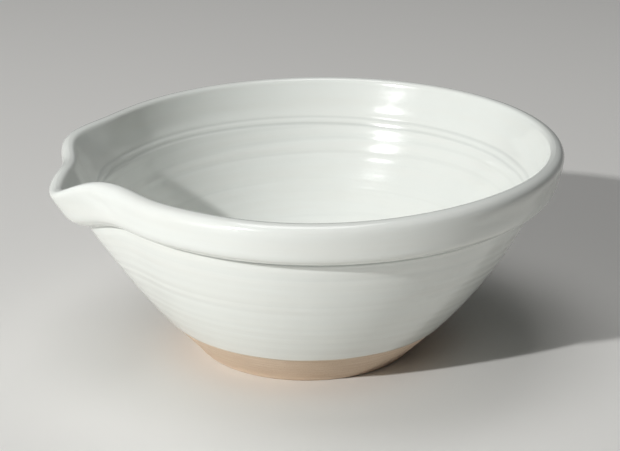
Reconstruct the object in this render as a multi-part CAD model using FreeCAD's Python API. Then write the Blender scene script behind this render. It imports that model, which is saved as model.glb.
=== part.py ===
import FreeCAD, Part
import math
import os

# Hand-thrown stoneware batter bowl: a flared round bowl with a thick collar under the rim and
# a pouring lip pulled from the rim by hand.  Millimetres, +Z up, origin at the centre of the
# foot on the surface it stands on, lip towards -X.
# The bowl is one fired clay body.  A liner glaze coats the inside, a second glaze coats the
# outside down to the wax line, and the two coats meet on the crest of the rim.

# sizes
GLAZE = 0.8            # thickness of each glaze coat
GLAZE_LINE = 21.3      # height of the wax line where the outer glaze stops
FOOT_BEVEL = 1.8       # bevel on the outer corner of the foot
FOOT_RING = 9.0        # width of the ring the bowl stands on
RECESS = 2.5           # depth of the trimmed recess inside the foot ring
RECESS_DRAFT = 2.0     # the recess wall leans in by this much
GROOVE_HEIGHT = 95.6   # height of the cut line under the collar
FLOOR = 12.8           # height of the glazed floor at the middle
FLOOR_DISC = 14.0      # radius of the flat middle of the floor

# outside wall above the foot: radius = WALL_START + WALL_FLARE * z - WALL_CURVE * z * z
WALL_START = 64.0
WALL_FLARE = 0.977
WALL_CURVE = 0.0034

# the collar from the groove up to the crest of the rim, then the inside down to the floor
COLLAR = [(129.4, 96.4), (131.8, 97.2), (133.4, 98.4), (135.2, 100.0), (136.5, 102.4), (137.4, 106.0),
          (138.2, 110.0), (138.9, 113.5), (138.8, 116.2), (136.8, 118.7), (133.8, 119.6)]
INSIDE = [(133.8, 119.6), (132.2, 119.4), (131.0, 118.9), (130.3, 118.0), (129.6, 116.3), (128.6, 113.6),
          (126.6, 108.5), (123.9, 102.0), (119.8, 95.4), (116.0, 87.5), (108.9, 74.0), (99.8, 58.5),
          (88.0, 42.0), (76.0, 29.4), (62.0, 20.2), (46.0, 15.4), (29.0, 13.2), (FLOOR_DISC, FLOOR)]

# the pulled lip: (amount, centre in degrees round from the lip, width in degrees)
OUTWARD = [(17.4, 0.0, 8.3), (10.4, -27.3, 7.8), (-6.0, 15.4, 8.0), (-3.0, 37.4, 11.2)]
UPWARD = [(-9.5, 0.0, 5.4), (2.5, 9.1, 4.7), (-5.4, -15.3, 8.0)]
FOLD = (-3.1, 9.1, 4.7)      # the collar's lower edge sags beside the lip
FOLD_SPREAD = 10.0
RIM_HEIGHT = 119.6
COLLAR_HEIGHT = 97.0
COLLAR_FOLLOW = 0.384        # share of the lip's pull that the wall takes at collar height
PULL_FOOT = 6.0              # height where that pull dies away
SAG_MIDDLE = 80.9            # the sag fades out below this height
SAG_SPREAD = 9.8

# small faults of hand throwing
LEAN = (0.0499, -0.0340)     # sideways drift of the wall for each millimetre of height
REAR_RISE = 2.4              # the rim opposite the lip stands this much higher
SIDE_RISE = (1.7, 115.0, 22.0)   # and it has a low swell to one side

STATIONS = 96                # points round each ring of the skin


def bell(angle, centre, width):
    return math.exp(-0.5 * ((angle - centre) / width) ** 2)


def total(bells, angle):
    return sum(amount * bell(angle, centre, width) for amount, centre, width in bells)


def above_collar(z):
    """0 below the collar rising to about 1 at the rim, with a soft start."""
    t = (z - COLLAR_HEIGHT) / (RIM_HEIGHT - COLLAR_HEIGHT)
    return 0.5 * (t + math.sqrt(t * t + 0.0225))


def thrown(r, z, angle):
    """Place a point of the round profile; angle is in degrees round from the lip."""
    below = max(0.0, (z - PULL_FOOT) / (COLLAR_HEIGHT - PULL_FOOT))
    lift = above_collar(z)
    pull = COLLAR_FOLLOW * min(1.0, below) ** 1.2 + (1 - COLLAR_FOLLOW) * lift
    sag = 1 / (1 + math.exp((SAG_MIDDLE - z) / SAG_SPREAD))
    fold = total([FOLD], angle) * bell(z, COLLAR_HEIGHT, FOLD_SPREAD)
    rise = (REAR_RISE * 0.5 * (1 - math.cos(math.radians(angle))) + total([SIDE_RISE], angle)) * lift
    radius = r + total(OUTWARD, angle) * pull * min(1.0, r / FLOOR_DISC - 1)
    height = z + total(UPWARD, angle) * sag + fold + rise
    turn = math.radians(180 + angle)
    return FreeCAD.Vector(radius * math.cos(turn) + LEAN[0] * height,
                          radius * math.sin(turn) + LEAN[1] * height,
                          height)


def flat_ring(r, z):
    """A true circle in a level plane, used where the clay is flat."""
    turns = [math.radians(180 + 360.0 * i / STATIONS) for i in range(STATIONS)]
    return [FreeCAD.Vector(r * math.cos(t) + LEAN[0] * z, r * math.sin(t) + LEAN[1] * z, z) for t in turns]


def ring(r, z):
    if r <= FLOOR_DISC:
        return flat_ring(r, z)
    turns = [360.0 * i / STATIONS for i in range(STATIONS)]
    return [thrown(r, z, turn if turn <= 180 else turn - 360) for turn in turns]


def around(points):
    """Poles of the closed cubic curve through one ring of points."""
    curve = Part.BSplineCurve()
    curve.interpolate(Points=points, PeriodicFlag=True, Parameters=list(range(len(points) + 1)))
    return curve


def along(points, stations):
    """Cubic curve through one column of poles."""
    curve = Part.BSplineCurve()
    curve.interpolate(Points=points, Parameters=stations)
    return curve


def stations_of(profile):
    """Distance along the profile at each of its points."""
    run = [0.0]
    for (r0, z0), (r1, z1) in zip(profile, profile[1:]):
        run.append(run[-1] + math.hypot(r1 - r0, z1 - z0))
    return run


def skin(rings, stations):
    """One smooth closed face through a stack of rings."""
    curves = [around(points) for points in rings]
    poles = [curve.getPoles() for curve in curves]
    first = curves[0]
    if len(rings) == 2:
        grid = [list(pair) for pair in zip(*poles)]
        mults, knots, degree = [2, 2], [0.0, 1.0], 1
    else:
        columns = [along(list(column), stations) for column in zip(*poles)]
        grid = [column.getPoles() for column in columns]
        mults, knots = columns[0].getMultiplicities(), columns[0].getKnots()
        degree = columns[0].Degree
    surface = Part.BSplineSurface()
    surface.buildFromPolesMultsKnots(grid, first.getMultiplicities(), mults, first.getKnots(), knots,
                                     True, False, first.Degree, degree)
    return surface.toShape()


def disc(points):
    return Part.Face(Part.Wire(around(points).toShape()))


def washer(outer, inner):
    """A flat face with a hole; the hole's wire runs the opposite way round to the outer one."""
    hole = Part.Wire(around(inner).toShape())
    hole.reverse()
    return Part.Face([Part.Wire(around(outer).toShape()), hole])


def closed(faces):
    shell = Part.makeShell(faces)
    shell.sewShape()
    solid = Part.makeSolid(shell)
    if solid.Volume < 0:
        solid.reverse()
    return solid


def wall_radius(z):
    return WALL_START + WALL_FLARE * z - WALL_CURVE * z * z


def wall_profile(bottom, top, count):
    heights = [bottom + (top - bottom) * i / (count - 1) for i in range(count)]
    return [(wall_radius(z), z) for z in heights]


def clay_profile(profile):
    """The clay surface GLAZE beneath a stretch of glazed surface that runs up and over the rim."""
    clay = []
    for i, (r, z) in enumerate(profile):
        r0, z0 = profile[max(0, i - 1)]
        r1, z1 = profile[min(len(profile) - 1, i + 1)]
        length = math.hypot(r1 - r0, z1 - z0)
        clay.append((r - GLAZE * (z1 - z0) / length, z + GLAZE * (r1 - r0) / length))
    return clay


def surfaces():
    """Every ring stack of the bowl, with shared rings where stretches meet."""
    wall = wall_profile(GLAZE_LINE, GROOVE_HEIGHT, 9)
    clay_wall = clay_profile(wall)
    clay_collar = clay_profile(COLLAR)
    clay_inside = clay_profile(INSIDE)
    crest = (COLLAR[-1][0], COLLAR[-1][1] - GLAZE)
    corner = (COLLAR[0][0] - GLAZE, COLLAR[0][1] + 0.3)
    clay_collar[0] = corner
    clay_collar[-1] = crest
    clay_inside[0] = crest
    clay_inside[-1] = (FLOOR_DISC, FLOOR - GLAZE)
    foot_top = clay_wall[0]
    foot = wall_profile(FOOT_BEVEL, foot_top[1], 4)
    foot = [(r - GLAZE, z) for r, z in foot[:-1]] + [foot_top]
    return {
        "foot": foot,
        "wall": wall, "groove": [wall[-1], COLLAR[0]], "collar": COLLAR, "inside": INSIDE,
        "clay_wall": clay_wall, "clay_groove": [clay_wall[-1], corner],
        "clay_collar": clay_collar, "clay_inside": clay_inside,
    }


def stack(profile):
    return skin([ring(r, z) for r, z in profile], stations_of(profile))


def edge_face(a, b):
    return skin([ring(*a), ring(*b)], None)


def stoneware_body(p):
    foot_radius = p["foot"][0][0]
    stand = flat_ring(foot_radius - FOOT_BEVEL, 0.0)
    inner_stand = flat_ring(foot_radius - FOOT_BEVEL - FOOT_RING, 0.0)
    recess_edge = flat_ring(foot_radius - FOOT_BEVEL - FOOT_RING - RECESS_DRAFT, RECESS)
    faces = [
        disc(recess_edge),
        skin([inner_stand, recess_edge], None),
        washer(stand, inner_stand),
        skin([stand, ring(*p["foot"][0])], None),
        stack(p["foot"]),
        stack(p["clay_wall"]),
        edge_face(*p["clay_groove"]),
        stack(p["clay_collar"]),
        stack(p["clay_inside"]),
        disc(ring(*p["clay_inside"][-1])),
    ]
    return closed(faces)


def outer_glaze(p):
    return closed([
        edge_face(p["clay_wall"][0], p["wall"][0]),
        stack(p["wall"]),
        edge_face(*p["groove"]),
        stack(p["collar"]),
        edge_face(p["collar"][-1], p["clay_collar"][-1]),
        stack(p["clay_collar"]),
        edge_face(*p["clay_groove"]),
        stack(p["clay_wall"]),
    ])


def liner_glaze(p):
    return closed([
        edge_face(p["inside"][0], p["clay_inside"][0]),
        stack(p["inside"]),
        disc(ring(*p["inside"][-1])),
        stack(p["clay_inside"]),
        disc(ring(*p["clay_inside"][-1])),
    ])


def main():
    os.makedirs("parts", exist_ok=True)
    profiles = surfaces()
    pieces = {
        "stoneware_body": stoneware_body(profiles),
        "outer_glaze": outer_glaze(profiles),
        "liner_glaze": liner_glaze(profiles),
    }
    for name, solid in pieces.items():
        solid.exportStep("parts/%s.step" % name)
        box = solid.BoundBox
        print(name, solid.ShapeType, solid.isValid(), solid.isClosed(), round(solid.Volume, 1),
              [round(v, 2) for v in (box.XMin, box.XMax, box.YMin, box.YMax, box.ZMin, box.ZMax)])


main()
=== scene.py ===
import math

import bpy
import numpy as np
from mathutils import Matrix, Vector


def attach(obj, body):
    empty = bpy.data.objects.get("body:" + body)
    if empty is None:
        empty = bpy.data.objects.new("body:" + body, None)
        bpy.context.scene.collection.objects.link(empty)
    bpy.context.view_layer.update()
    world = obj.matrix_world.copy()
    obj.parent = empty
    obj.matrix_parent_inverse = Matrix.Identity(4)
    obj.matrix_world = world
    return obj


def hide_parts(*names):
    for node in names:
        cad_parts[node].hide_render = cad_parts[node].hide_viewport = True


# The looks of a hand-thrown stoneware batter bowl, in metres, in the frame of the CAD part:
# +Z up, origin at the centre of the foot, lip towards -X.  Shapes are worked out in
# millimetres and scaled once when a mesh is made.

MM = 0.001

# bowl sizes, as in the CAD part
GLAZE = 0.8
GLAZE_LINE = 21.3
FOOT_BEVEL = 1.8
FOOT_RING = 9.0
RECESS = 2.5
RECESS_DRAFT = 2.0
GROOVE_HEIGHT = 95.6
FLOOR = 12.8
FLOOR_DISC = 14.0
WALL_START = 64.0
WALL_FLARE = 0.977
WALL_CURVE = 0.0034
COLLAR = [(129.4, 96.4), (131.8, 97.2), (133.4, 98.4), (135.2, 100.0), (136.5, 102.4), (137.4, 106.0),
          (138.2, 110.0), (138.9, 113.5), (138.8, 116.2), (136.8, 118.7), (133.8, 119.6)]
INSIDE = [(133.8, 119.6), (132.2, 119.4), (131.0, 118.9), (130.3, 118.0), (129.6, 116.3), (128.6, 113.6),
          (126.6, 108.5), (123.9, 102.0), (119.8, 95.4), (116.0, 87.5), (108.9, 74.0), (99.8, 58.5),
          (88.0, 42.0), (76.0, 29.4), (62.0, 20.2), (46.0, 15.4), (29.0, 13.2), (FLOOR_DISC, FLOOR)]

# the pulled lip: (amount, centre in degrees round from the lip, width in degrees)
OUTWARD = [(17.4, 0.0, 8.3), (10.4, -27.3, 7.8), (-6.0, 15.4, 8.0), (-3.0, 37.4, 11.2)]
UPWARD = [(-9.5, 0.0, 5.4), (2.5, 9.1, 4.7), (-5.4, -15.3, 8.0)]
FOLD = [(-3.1, 9.1, 4.7)]
FOLD_SPREAD = 10.0
RIM_HEIGHT = 119.6
COLLAR_HEIGHT = 97.0
COLLAR_FOLLOW = 0.384
PULL_FOOT = 6.0
SAG_MIDDLE = 80.9
SAG_SPREAD = 9.8
LEAN = (0.0499, -0.0340)
REAR_RISE = 2.4
SIDE_RISE = [(1.7, 115.0, 22.0)]

# the fold beside the lip: degrees round from the lip, and millimetres
CREASE_MIDDLE = 12.6
CREASE_SWING = 4.2
CREASE_HEIGHT = 110.5
CREASE_STEEPNESS = 5.0
CREASE_REACH = 4.4
CREASE_WIDTH = 1.4
CREASE_DEPTH = 0.38
SWELLING_HEIGHT = 0.8  # the swelling beside the crease, as a share of its depth
SWELLING_BESIDE = 2.4  # and how far off it lies and how wide it is, in crease widths
SWELLING_WIDTH = 1.2

# throwing marks: pitch and depth of the finger rings, and the paired grooves inside under the collar
OUTER_RINGS = [(6.4, 0.12, 1.0), (2.3, 0.02, 3.0)]
INNER_RINGS = [(8.5, 0.12, 5.0), (3.1, 0.016, 2.0)]
INNER_GROOVES = [(98.2, 0.55, 0.18), (94.6, 0.6, 0.22)]
UNDERCUT = (94.9, 0.6, 0.72)
FOOT_RINGS = [(1.9, 0.05, 6.0), (0.8, 0.018, 4.0)]
TURNING = (0.04, 2.7)  # depth and pitch of the turning marks on the underside
BEAD = 0.9             # height of the rounded lower edge of the outside glaze
THIN_BAND = 1.6        # the outside glaze runs thin over this height above the wax line
LIP_SPREAD = 12.0      # degrees either side of the lip where the cut line is smoothed away

# small rounds on the profile's corners
LEDGE_ROUND = 0.4
FOOT_ROUND = 0.5
ROOT_ROUND = 0.8

# mesh fineness
STATIONS = 540
GATHER = 30.0          # degrees by which the stations crowd towards the lip
SKIN = 0.1             # the visible coats lie this far inside the CAD part's faces
STEP = 0.8             # spacing of rings along the profile
SEAM_STEP = 0.12       # finer spacing where the two coats meet on the crest

# camera and stage
CAMERA_AZIMUTH = -19.86
CAMERA_ELEVATION = 21.0
CAMERA_DISTANCE = 1.0
CAMERA_LENS = 99.84
VIEW_CENTRE = Vector((0.0, 0.0, 0.060))
AIM_RIGHT = 0.0023
AIM_UP = 0.0084
FLOOR_SIZE = 6.0
KEY_LEFT = 45.0
KEY_ELEVATION = 29.0
KEY_DISTANCE = 3.0
KEY_SIZE = (0.10, 0.10)
KEY_POWER = 80
FILL_LEFT = 52.0
FILL_DISTANCE = 2.2
FILL_HEIGHT = 0.36
FILL_SIZE = (0.9, 0.5)
FILL_POWER = 4
TOP_PLACE = (-0.2, 0.1, 2.4)
TOP_SIZE = (1.4, 1.4)
TOP_POWER = 18
ROOM_COLOUR = (0.88, 0.90, 0.93, 1)
ROOM_STRENGTH = 0.05

# colours
MILK = ((0.840, 0.866, 0.825, 1), (0.866, 0.892, 0.852, 1))
MILK_STREAK = (0.850, 0.868, 0.822, 1)
# dark grey for the ring hollows, inside grooves and undercut: partly glaze pooling thick there, partly
# painted shade
POOLED_GLAZE_AND_SHADE = (0.42, 0.45, 0.43, 1)
# lighter on the ring crests: a painted highlight
CREST_HIGHLIGHT = (0.88, 0.885, 0.845, 1)
WAX_EDGE = (0.85, 0.83, 0.75, 1)
CLAY = ((0.71, 0.57, 0.43, 1), (0.80, 0.66, 0.52, 1))
TRIMMED = (0.66, 0.50, 0.365, 1)
SPECK = (0.46, 0.33, 0.22, 1)
TABLE = (0.86, 0.85, 0.82, 1)

# angles round from the lip, in degrees, gathered towards the lip where the shape is finest
EVEN = (np.arange(STATIONS) * 360.0 / STATIONS + 180.0) % 360.0 - 180.0
ANGLES = EVEN - GATHER * np.sin(np.radians(EVEN))
TURNS = np.radians(ANGLES + 180.0)


# the thrown shape

def clamp(value, low=0.0):
    return min(1.0, max(low, value))


def bells(terms, angle):
    return sum(a * np.exp(-0.5 * ((angle - centre) / width) ** 2) for a, centre, width in terms)


def above_collar(z):
    t = (z - COLLAR_HEIGHT) / (RIM_HEIGHT - COLLAR_HEIGHT)
    return 0.5 * (t + np.sqrt(t * t + 0.0225))


def thrown(r, z):
    """One ring of points in metres; r and z are numbers or one value for each station."""
    r = r + 0 * ANGLES
    z = z + 0 * ANGLES
    lift = above_collar(z)
    below = np.clip((z - PULL_FOOT) / (COLLAR_HEIGHT - PULL_FOOT), 0, 1)
    pull = COLLAR_FOLLOW * below ** 1.2 + (1 - COLLAR_FOLLOW) * lift
    sag = 1 / (1 + np.exp((SAG_MIDDLE - z) / SAG_SPREAD))
    fold = bells(FOLD, ANGLES) * np.exp(-0.5 * ((z - COLLAR_HEIGHT) / FOLD_SPREAD) ** 2)
    rise = (REAR_RISE * 0.5 * (1 - np.cos(np.radians(ANGLES))) + bells(SIDE_RISE, ANGLES)) * lift
    on_floor = np.clip(r / FLOOR_DISC - 1, 0, 1)
    radius = r + bells(OUTWARD, ANGLES) * pull * on_floor
    height = z + (bells(UPWARD, ANGLES) * sag + fold + rise) * on_floor
    x = radius * np.cos(TURNS) + LEAN[0] * height
    y = radius * np.sin(TURNS) + LEAN[1] * height
    return np.stack([x, y, height], axis=1) * MM


def level_ring(r, z):
    """A true circle in a level plane, used on the flat underside."""
    x = r * np.cos(TURNS) + LEAN[0] * z
    y = r * np.sin(TURNS) + LEAN[1] * z
    return np.stack([x, y, z + 0 * TURNS], axis=1) * MM


def spline(points, step):
    """Evenly spaced points on the smooth curve through a profile's points."""
    p = np.array(points, float)
    t = np.concatenate([[0], np.cumsum(np.hypot(*np.diff(p, axis=0).T))])
    h = np.diff(t)
    n = len(p)
    a = np.zeros((n, n))
    b = np.zeros((n, 2))
    a[0, 0] = a[-1, -1] = 1
    for i in range(1, n - 1):
        a[i, i - 1:i + 2] = h[i - 1], 2 * (h[i - 1] + h[i]), h[i]
        b[i] = 6 * ((p[i + 1] - p[i]) / h[i] - (p[i] - p[i - 1]) / h[i - 1])
    m = np.linalg.solve(a, b)
    s = np.linspace(0, t[-1], max(2, round(t[-1] / step) + 1))
    i = np.clip(np.searchsorted(t, s, "right") - 1, 0, n - 2)
    u = ((s - t[i]) / h[i])[:, None]
    hi = h[i][:, None] ** 2 / 6
    return (1 - u) * p[i] + u * p[i + 1] + hi * (((1 - u) ** 3 - (1 - u)) * m[i] + (u ** 3 - u) * m[i + 1])


def normals(profile):
    """Outward normals along a profile that runs up the outside, over the rim and down the inside."""
    d = np.gradient(profile, axis=0)
    d /= np.linalg.norm(d, axis=1)[:, None]
    return np.stack([d[:, 1], -d[:, 0]], axis=1)


def wall_radius(z):
    return WALL_START + WALL_FLARE * z - WALL_CURVE * z * z


def wall(bottom, top, step=STEP):
    z = np.linspace(bottom, top, round((top - bottom) / step) + 1)
    return np.stack([wall_radius(z), z], axis=1)


def corner(before, point, after, radius, count=4):
    """A small round in place of a sharp profile corner."""
    a = np.array(point) + radius * unit(np.array(before) - point)
    b = np.array(point) + radius * unit(np.array(after) - point)
    t = np.linspace(0, 1, count)[:, None]
    return (1 - t) ** 2 * a + 2 * t * (1 - t) * np.array(point) + t ** 2 * b


def unit(v):
    return v / np.linalg.norm(v)


def wander(value, seed):
    """A slow, repeatable wobble between about -1 and 1."""
    return (math.sin(value * 0.37 + seed) + math.sin(value * 0.91 + 2.3 * seed)
            + math.sin(value * 1.73 + 4.1 * seed)) / 3


def throwing_rings(z, pitch, depth, seed):
    """Height of the finger ridges round one ring; they climb as a slow spiral and never repeat exactly."""
    phase = 2 * math.pi * z / pitch + 1.4 * wander(z / 4, seed)
    swell = 0.55 + 0.45 * wander(z / 6, seed + 1)
    swell = swell * (0.75 + 0.25 * np.sin(2 * TURNS + z / 9 + seed))
    drift = 0.25 * np.sin(TURNS + seed) + 0.12 * np.sin(2 * TURNS + 2 * seed)
    return depth * swell * np.sin(phase + TURNS + 2 * math.pi * drift)


def marks(z, rings):
    return sum(throwing_rings(z, pitch, depth, seed) for pitch, depth, seed in rings)


def groove(z, middle, width, depth):
    """A fingertip groove cut round the wall at one height."""
    return -depth * math.exp(-0.5 * ((z - middle) / width) ** 2)


def crease(z):
    """The soft S-shaped fold down the near side of the pulled lip, with the swelling beside it."""
    path = CREASE_MIDDLE - CREASE_SWING * math.tanh((z - CREASE_HEIGHT) / CREASE_STEEPNESS)
    fade = math.exp(-0.5 * ((z - CREASE_HEIGHT) / CREASE_REACH) ** 2)
    valley = np.exp(-0.5 * ((ANGLES - path) / CREASE_WIDTH) ** 2)
    beside = ANGLES - path + SWELLING_BESIDE * CREASE_WIDTH
    swelling = np.exp(-0.5 * (beside / (SWELLING_WIDTH * CREASE_WIDTH)) ** 2)
    return fade * CREASE_DEPTH * (SWELLING_HEIGHT * swelling - valley)


# meshes

def lathe(name, rings, ends, layers=None):
    """A closed mesh through a list of rings; ends is None for a loop or the two axis points.

    layers holds named values for the material, given ring by ring at each station."""
    count = len(rings)
    verts = np.concatenate(rings)
    j = np.arange(STATIONS)
    k = (j + 1) % STATIONS
    faces = []
    for i in range(count if ends is None else count - 1):
        a = i * STATIONS
        b = (i + 1) % count * STATIONS
        faces += np.stack([a + j, a + k, b + k, b + j], axis=1).tolist()
    if ends is not None:
        first, last = len(verts), len(verts) + 1
        verts = np.concatenate([verts, ends])
        top = (count - 1) * STATIONS
        faces += [[first, int(b), int(a)] for a, b in zip(j, k)]
        faces += [[last, int(top + a), int(top + b)] for a, b in zip(j, k)]
    mesh = bpy.data.meshes.new(name)
    mesh.from_pydata(verts.tolist(), [], faces)
    mesh.polygons.foreach_set("use_smooth", [True] * len(mesh.polygons))
    for layer, by_ring in (layers or {}).items():
        values = np.zeros(len(verts))
        known = np.concatenate(by_ring)
        values[:len(known)] = known
        mesh.attributes.new(layer, "FLOAT", "POINT").data.foreach_set("value", values)
    mesh.update()
    piece = bpy.data.objects.new(name, mesh)
    bpy.context.scene.collection.objects.link(piece)
    return piece


def axis_point(z):
    return np.array([LEAN[0] * z, LEAN[1] * z, z]) * MM


def seamed(profile, seam_at_start):
    """Closer rings over the last two steps beside the crest, so the two coats shade as one."""
    ends = profile[:3] if seam_at_start else profile[-3:]
    fine = spline(ends, SEAM_STEP)
    return np.concatenate([fine, profile[3:]] if seam_at_start else [profile[:-3], fine])


def outer_face():
    """Profile of the outside coat from the wax line to the crest."""
    top = (wall_radius(GROOVE_HEIGHT), GROOVE_HEIGHT)
    ledge = corner(wall(GROOVE_HEIGHT - 2, GROOVE_HEIGHT)[0], top, COLLAR[0], LEDGE_ROUND, 5)
    lower = wall(GLAZE_LINE + BEAD, GROOVE_HEIGHT - 3)
    under_ledge = wall(GROOVE_HEIGHT - 2.7, GROOVE_HEIGHT - 0.6, 0.3)
    collar = seamed(spline(COLLAR, 0.6), False)
    return np.concatenate([lower, under_ledge, ledge, collar])


def hidden_face(front):
    """The side of a coat that lies against the clay, with a third of the rings."""
    back = front[::3] if len(front) % 3 == 1 else np.concatenate([front[::3], front[-1:]])
    return [thrown(r - nr * GLAZE, z - nz * GLAZE) for (r, z), (nr, nz) in zip(back, normals(back))]


def outer_glaze():
    """The outside coat; the hollow depth layer is above 0 in hollows and below 0 on ridges, thinning 1 at
    the wax line. The glaze turns it into pooling with painted shade in the hollows and a painted highlight
    on the ridges.
    """
    front = outer_face()
    across = normals(front)
    beside_lip = 1 - 0.85 * np.exp(-0.5 * (ANGLES / LIP_SPREAD) ** 2)
    rings = []
    hollow_depth = []
    thinning = []
    for (r, z), (nr, nz) in zip(front, across):
        thinning.append(clamp((GLAZE_LINE + THIN_BAND - z) / THIN_BAND) + 0 * ANGLES)
        on_wall = clamp((z - GLAZE_LINE) / 6) * clamp((GROOVE_HEIGHT - z) / 3)
        on_collar = 0.3 * clamp((z - GROOVE_HEIGHT - 4) / 3) * clamp((116 - z) / 4)
        d = (on_wall + on_collar) * marks(z, OUTER_RINGS)
        if z <= GROOVE_HEIGHT + 1:
            d = d + groove(z, *UNDERCUT) * beside_lip
        # the hollow depth sets pooling with painted shade in the hollows and the undercut, and a painted
        # highlight on the crests
        hollow_depth.append(-d)
        if z > GROOVE_HEIGHT + 1:
            d = d + crease(z)
        rings.append(thrown(r + nr * (d - SKIN), z + nz * (d - SKIN)))
    line = GLAZE_LINE + 0.25 * np.sin(3 * TURNS + 1) + 0.15 * np.sin(7 * TURNS)
    line = line + 0.1 * np.sin(17 * TURNS + 2)
    bead = []
    for turn in np.linspace(0, math.pi, 9)[1:-1]:
        out = GLAZE * 0.5 * (1 + math.cos(turn)) - GLAZE - SKIN
        down = BEAD * math.sin(turn)
        z = line + BEAD - down
        bead.append(thrown(wall_radius(z) + out, z))
    hidden = hidden_face(front)
    level = [0 * ANGLES] * len(bead)
    thinnest = [1 + 0 * ANGLES] * len(bead)
    layers = {"hollow_depth": level + hollow_depth, "thinning": thinnest + thinning}
    return lathe("glaze_outside", bead[::-1] + rings + hidden[::-1], None, layers)


def inner_face():
    return seamed(spline(INSIDE, STEP), True)


def liner_glaze():
    front = inner_face()
    across = normals(front)
    rings = []
    hollow_depth = []
    for (r, z), (nr, nz) in zip(front, across):
        below = clamp((GROOVE_HEIGHT + 2 - z) / 6, 0.25) * clamp((116 - z) / 5)
        d = below * min(1.0, r / 30) * marks(z + r / 3, INNER_RINGS)
        d = d + sum(groove(z, *line) for line in INNER_GROOVES)
        # the hollow depth sets pooling with painted shade in the hollows and inside grooves, and a painted
        # highlight on the crests
        hollow_depth.append(-d)
        rings.append(thrown(r + nr * (d - SKIN), z + nz * (d - SKIN)))
    ends = np.array([axis_point(FLOOR), axis_point(FLOOR - GLAZE)])
    return lathe("glaze_inside", rings[::-1] + hidden_face(front), ends, {"hollow_depth": hollow_depth[::-1]})


def foot_outline():
    """Profile of the bare clay from the wax line down to the middle of the underside."""
    side = wall(FOOT_BEVEL, GLAZE_LINE + 1.5, 0.35)
    side = side + normals(side) * -GLAZE
    side = side[::-1]
    stand = side[-1][0] - FOOT_BEVEL
    inner = stand - FOOT_RING
    recess = inner - RECESS_DRAFT
    bevel = corner(side[-2], (side[-1][0], FOOT_BEVEL), (stand, 0), FOOT_ROUND, 5)
    heel = corner((side[-1][0], FOOT_BEVEL), (stand, 0), (inner, 0), FOOT_ROUND, 5)
    toe = corner((stand, 0), (inner, 0), (recess, RECESS), FOOT_ROUND, 5)
    root = corner((inner, 0), (recess, RECESS), (0, RECESS), ROOT_ROUND, 5)
    ring = np.linspace((stand - 0.6, 0), (inner + 0.6, 0), 12)
    under = np.linspace((recess - 1.2, RECESS), (1.0, RECESS), 60)
    return side[:-2], np.concatenate([bevel, heel, ring, toe, root, under])


def stoneware():
    side, under = foot_outline()
    rings = []
    for r, z in side:
        rings.append(thrown(r + marks(z, FOOT_RINGS), z))
    depth, pitch = TURNING
    for r, z in under:
        turning = depth * math.sin(2 * math.pi * r / pitch) if z > 1 else 0.0
        rings.append(level_ring(r, z + turning))
    outer = outer_face()
    inner = inner_face()
    outer_back = (outer - normals(outer) * GLAZE)[2::4]
    inner_back = (inner - normals(inner) * GLAZE)[2::4]
    hidden = [thrown(r, z) for r, z in np.concatenate([outer_back, inner_back])]
    ends = np.array([axis_point(FLOOR - GLAZE), axis_point(RECESS)])
    return lathe("stoneware_bowl", hidden[::-1] + rings, ends)


# materials

def new_material(name):
    material = bpy.data.materials.new(name)
    material.use_nodes = True
    tree = material.node_tree
    return material, tree, tree.nodes["Principled BSDF"]


def add(tree, kind, inputs=None, **settings):
    node = tree.nodes.new(kind)
    for key, value in settings.items():
        setattr(node, key, value)
    for key, value in (inputs or {}).items():
        if hasattr(value, "is_output"):
            tree.links.new(value, node.inputs[key])
        else:
            node.inputs[key].default_value = value
    return node


def noise(tree, vector, scale, detail=3.0, roughness=0.5):
    node = add(tree, "ShaderNodeTexNoise", {"Vector": vector, "Scale": scale, "Detail": detail,
                                            "Roughness": roughness})
    return node.outputs["Fac"]


def mapped(tree, value, low, high, out_low=0.0, out_high=1.0):
    node = add(tree, "ShaderNodeMapRange", {"Value": value, "From Min": low, "From Max": high,
                                            "To Min": out_low, "To Max": out_high})
    return node.outputs["Result"]


def mix(tree, factor, a, b):
    node = add(tree, "ShaderNodeMix", data_type="RGBA")
    for socket, value in ((node.inputs[0], factor), (node.inputs[6], a), (node.inputs[7], b)):
        if hasattr(value, "is_output"):
            tree.links.new(value, socket)
        else:
            socket.default_value = value
    return node.outputs[2]


def stretched(tree, scale):
    where = add(tree, "ShaderNodeTexCoord").outputs["Object"]
    return add(tree, "ShaderNodeMapping", {"Vector": where, "Scale": scale}).outputs["Vector"]


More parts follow.
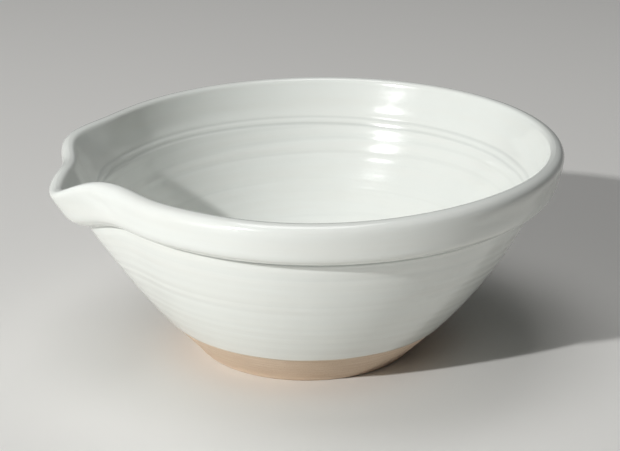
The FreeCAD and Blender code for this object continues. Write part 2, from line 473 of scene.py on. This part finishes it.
def white_glaze():
    material, tree, shader = new_material("white_glaze")
    plain = stretched(tree, (1, 1, 1))
    bands = stretched(tree, (1, 1, 9))
    cloud = mapped(tree, noise(tree, plain, 14, 3), 0.35, 0.65)
    streak = mapped(tree, noise(tree, bands, 16, 4, 0.6), 0.4, 0.7)
    milk = mix(tree, cloud, *MILK)
    milk = mix(tree, streak, milk, MILK_STREAK)
    # grey in the hollows, grooves and undercut: partly pooled glaze, partly painted shade
    depth = add(tree, "ShaderNodeAttribute", attribute_name="hollow_depth").outputs["Fac"]
    pooled_and_shaded = mapped(tree, depth, 0.03, 0.65)
    milk = mix(tree, pooled_and_shaded, milk, POOLED_GLAZE_AND_SHADE)
    # lighter on the ring crests: a painted highlight
    crest_highlight = mapped(tree, depth, -0.02, -0.14, 0.0, 0.5)
    milk = mix(tree, crest_highlight, milk, CREST_HIGHLIGHT)
    edge = add(tree, "ShaderNodeAttribute", attribute_name="thinning").outputs["Fac"]
    thin = mix(tree, edge, milk, WAX_EDGE)
    tree.links.new(thin, shader.inputs["Base Color"])
    rough = mapped(tree, noise(tree, plain, 60, 4), 0.3, 0.7, 0.13, 0.21)
    tree.links.new(rough, shader.inputs["Roughness"])
    shader.inputs["IOR"].default_value = 1.52
    shader.inputs["Coat Weight"].default_value = 0.25
    shader.inputs["Coat Roughness"].default_value = 0.04
    ripple = noise(tree, plain, 150, 2)
    bump = add(tree, "ShaderNodeBump", {"Height": ripple, "Strength": 0.12, "Distance": 0.0004})
    tree.links.new(bump.outputs["Normal"], shader.inputs["Normal"])
    return material


def bare_clay():
    material, tree, shader = new_material("bare_stoneware")
    plain = stretched(tree, (1, 1, 1))
    lines = stretched(tree, (1, 1, 30))
    tone = mapped(tree, noise(tree, plain, 25, 4), 0.3, 0.7)
    clay = mix(tree, tone, *CLAY)
    trim = mapped(tree, noise(tree, lines, 45, 5, 0.65), 0.35, 0.65)
    clay = mix(tree, trim, clay, TRIMMED)
    specks = add(tree, "ShaderNodeTexVoronoi", {"Vector": plain, "Scale": 420.0})
    dark = mapped(tree, specks.outputs["Distance"], 0.11, 0.07)
    clay = mix(tree, dark, clay, SPECK)
    tree.links.new(clay, shader.inputs["Base Color"])
    rough = mapped(tree, noise(tree, plain, 300, 3), 0.3, 0.7, 0.72, 0.9)
    tree.links.new(rough, shader.inputs["Roughness"])
    grain = noise(tree, plain, 900, 3)
    trimming = noise(tree, lines, 60, 4, 0.6)
    rise = add(tree, "ShaderNodeMath", {0: grain, 1: trimming}, operation="ADD").outputs[0]
    bump = add(tree, "ShaderNodeBump", {"Height": rise, "Strength": 0.5, "Distance": 0.0004})
    tree.links.new(bump.outputs["Normal"], shader.inputs["Normal"])
    return material


# stage

def build_floor():
    h = FLOOR_SIZE / 2
    mesh = bpy.data.meshes.new("floor")
    mesh.from_pydata([(-h, -h, 0), (h, -h, 0), (h, h, 0), (-h, h, 0)], [], [(0, 1, 2, 3)])
    floor = bpy.data.objects.new("floor", mesh)
    bpy.context.scene.collection.objects.link(floor)
    material, tree, shader = new_material("floor")
    shader.inputs["Base Color"].default_value = TABLE
    shader.inputs["Roughness"].default_value = 0.6
    mesh.materials.append(material)


def soft_light(name, place, aim, size, power):
    data = bpy.data.lights.new(name, "AREA")
    data.shape = "RECTANGLE"
    data.size, data.size_y = size
    data.energy = power
    lamp = bpy.data.objects.new(name, data)
    lamp.location = place
    lamp.rotation_euler = (Vector(aim) - Vector(place)).to_track_quat("-Z", "Y").to_euler()
    bpy.context.scene.collection.objects.link(lamp)


def around(azimuth, distance, height):
    """A place seen from above at this angle, 0 in front of the bowl and 90 to its right."""
    a = math.radians(azimuth)
    return (distance * math.sin(a), -distance * math.cos(a), height)


def build_lights():
    rise = math.tan(math.radians(KEY_ELEVATION))
    key_place = around(CAMERA_AZIMUTH - KEY_LEFT, KEY_DISTANCE, KEY_DISTANCE * rise + 0.08)
    fill_place = around(CAMERA_AZIMUTH - FILL_LEFT, FILL_DISTANCE, FILL_HEIGHT)
    soft_light("key", key_place, (0, 0, 0.08), KEY_SIZE, KEY_POWER)
    soft_light("low_fill", fill_place, VIEW_CENTRE, FILL_SIZE, FILL_POWER)
    soft_light("top", TOP_PLACE, VIEW_CENTRE, TOP_SIZE, TOP_POWER)
    world = bpy.data.worlds.new("studio")
    world.use_nodes = True
    world.node_tree.nodes["Background"].inputs["Color"].default_value = ROOM_COLOUR
    world.node_tree.nodes["Background"].inputs["Strength"].default_value = ROOM_STRENGTH
    bpy.context.scene.world = world
    bpy.context.scene.view_settings.view_transform = "Standard"


def build_camera():
    a = math.radians(CAMERA_AZIMUTH)
    e = math.radians(CAMERA_ELEVATION)
    back = Vector((math.sin(a) * math.cos(e), -math.cos(a) * math.cos(e), math.sin(e)))
    right = Vector((math.cos(a), math.sin(a), 0))
    up = back.cross(right)
    data = bpy.data.cameras.new("camera")
    data.lens = CAMERA_LENS
    data.sensor_width = 36
    camera = bpy.data.objects.new("camera", data)
    camera.location = VIEW_CENTRE + back * CAMERA_DISTANCE
    aim = VIEW_CENTRE + right * AIM_RIGHT + up * AIM_UP
    camera.rotation_euler = (aim - camera.location).to_track_quat("-Z", "Y").to_euler()
    bpy.context.scene.collection.objects.link(camera)
    bpy.context.scene.camera = camera


def put(piece, node, material):
    piece.data.materials.append(material)
    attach(piece, "root")
    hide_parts(node)


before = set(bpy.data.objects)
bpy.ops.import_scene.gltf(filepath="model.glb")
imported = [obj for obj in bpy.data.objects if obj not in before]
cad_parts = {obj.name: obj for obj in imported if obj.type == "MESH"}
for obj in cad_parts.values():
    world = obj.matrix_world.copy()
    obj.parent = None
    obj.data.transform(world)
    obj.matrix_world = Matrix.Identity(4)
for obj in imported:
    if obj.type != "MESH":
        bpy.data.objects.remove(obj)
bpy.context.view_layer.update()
glaze = white_glaze()
put(stoneware(), "stoneware_body", bare_clay())
put(outer_glaze(), "outer_glaze", glaze)
put(liner_glaze(), "liner_glaze", glaze)
build_floor()
build_lights()
build_camera()
bpy.context.view_layer.update()
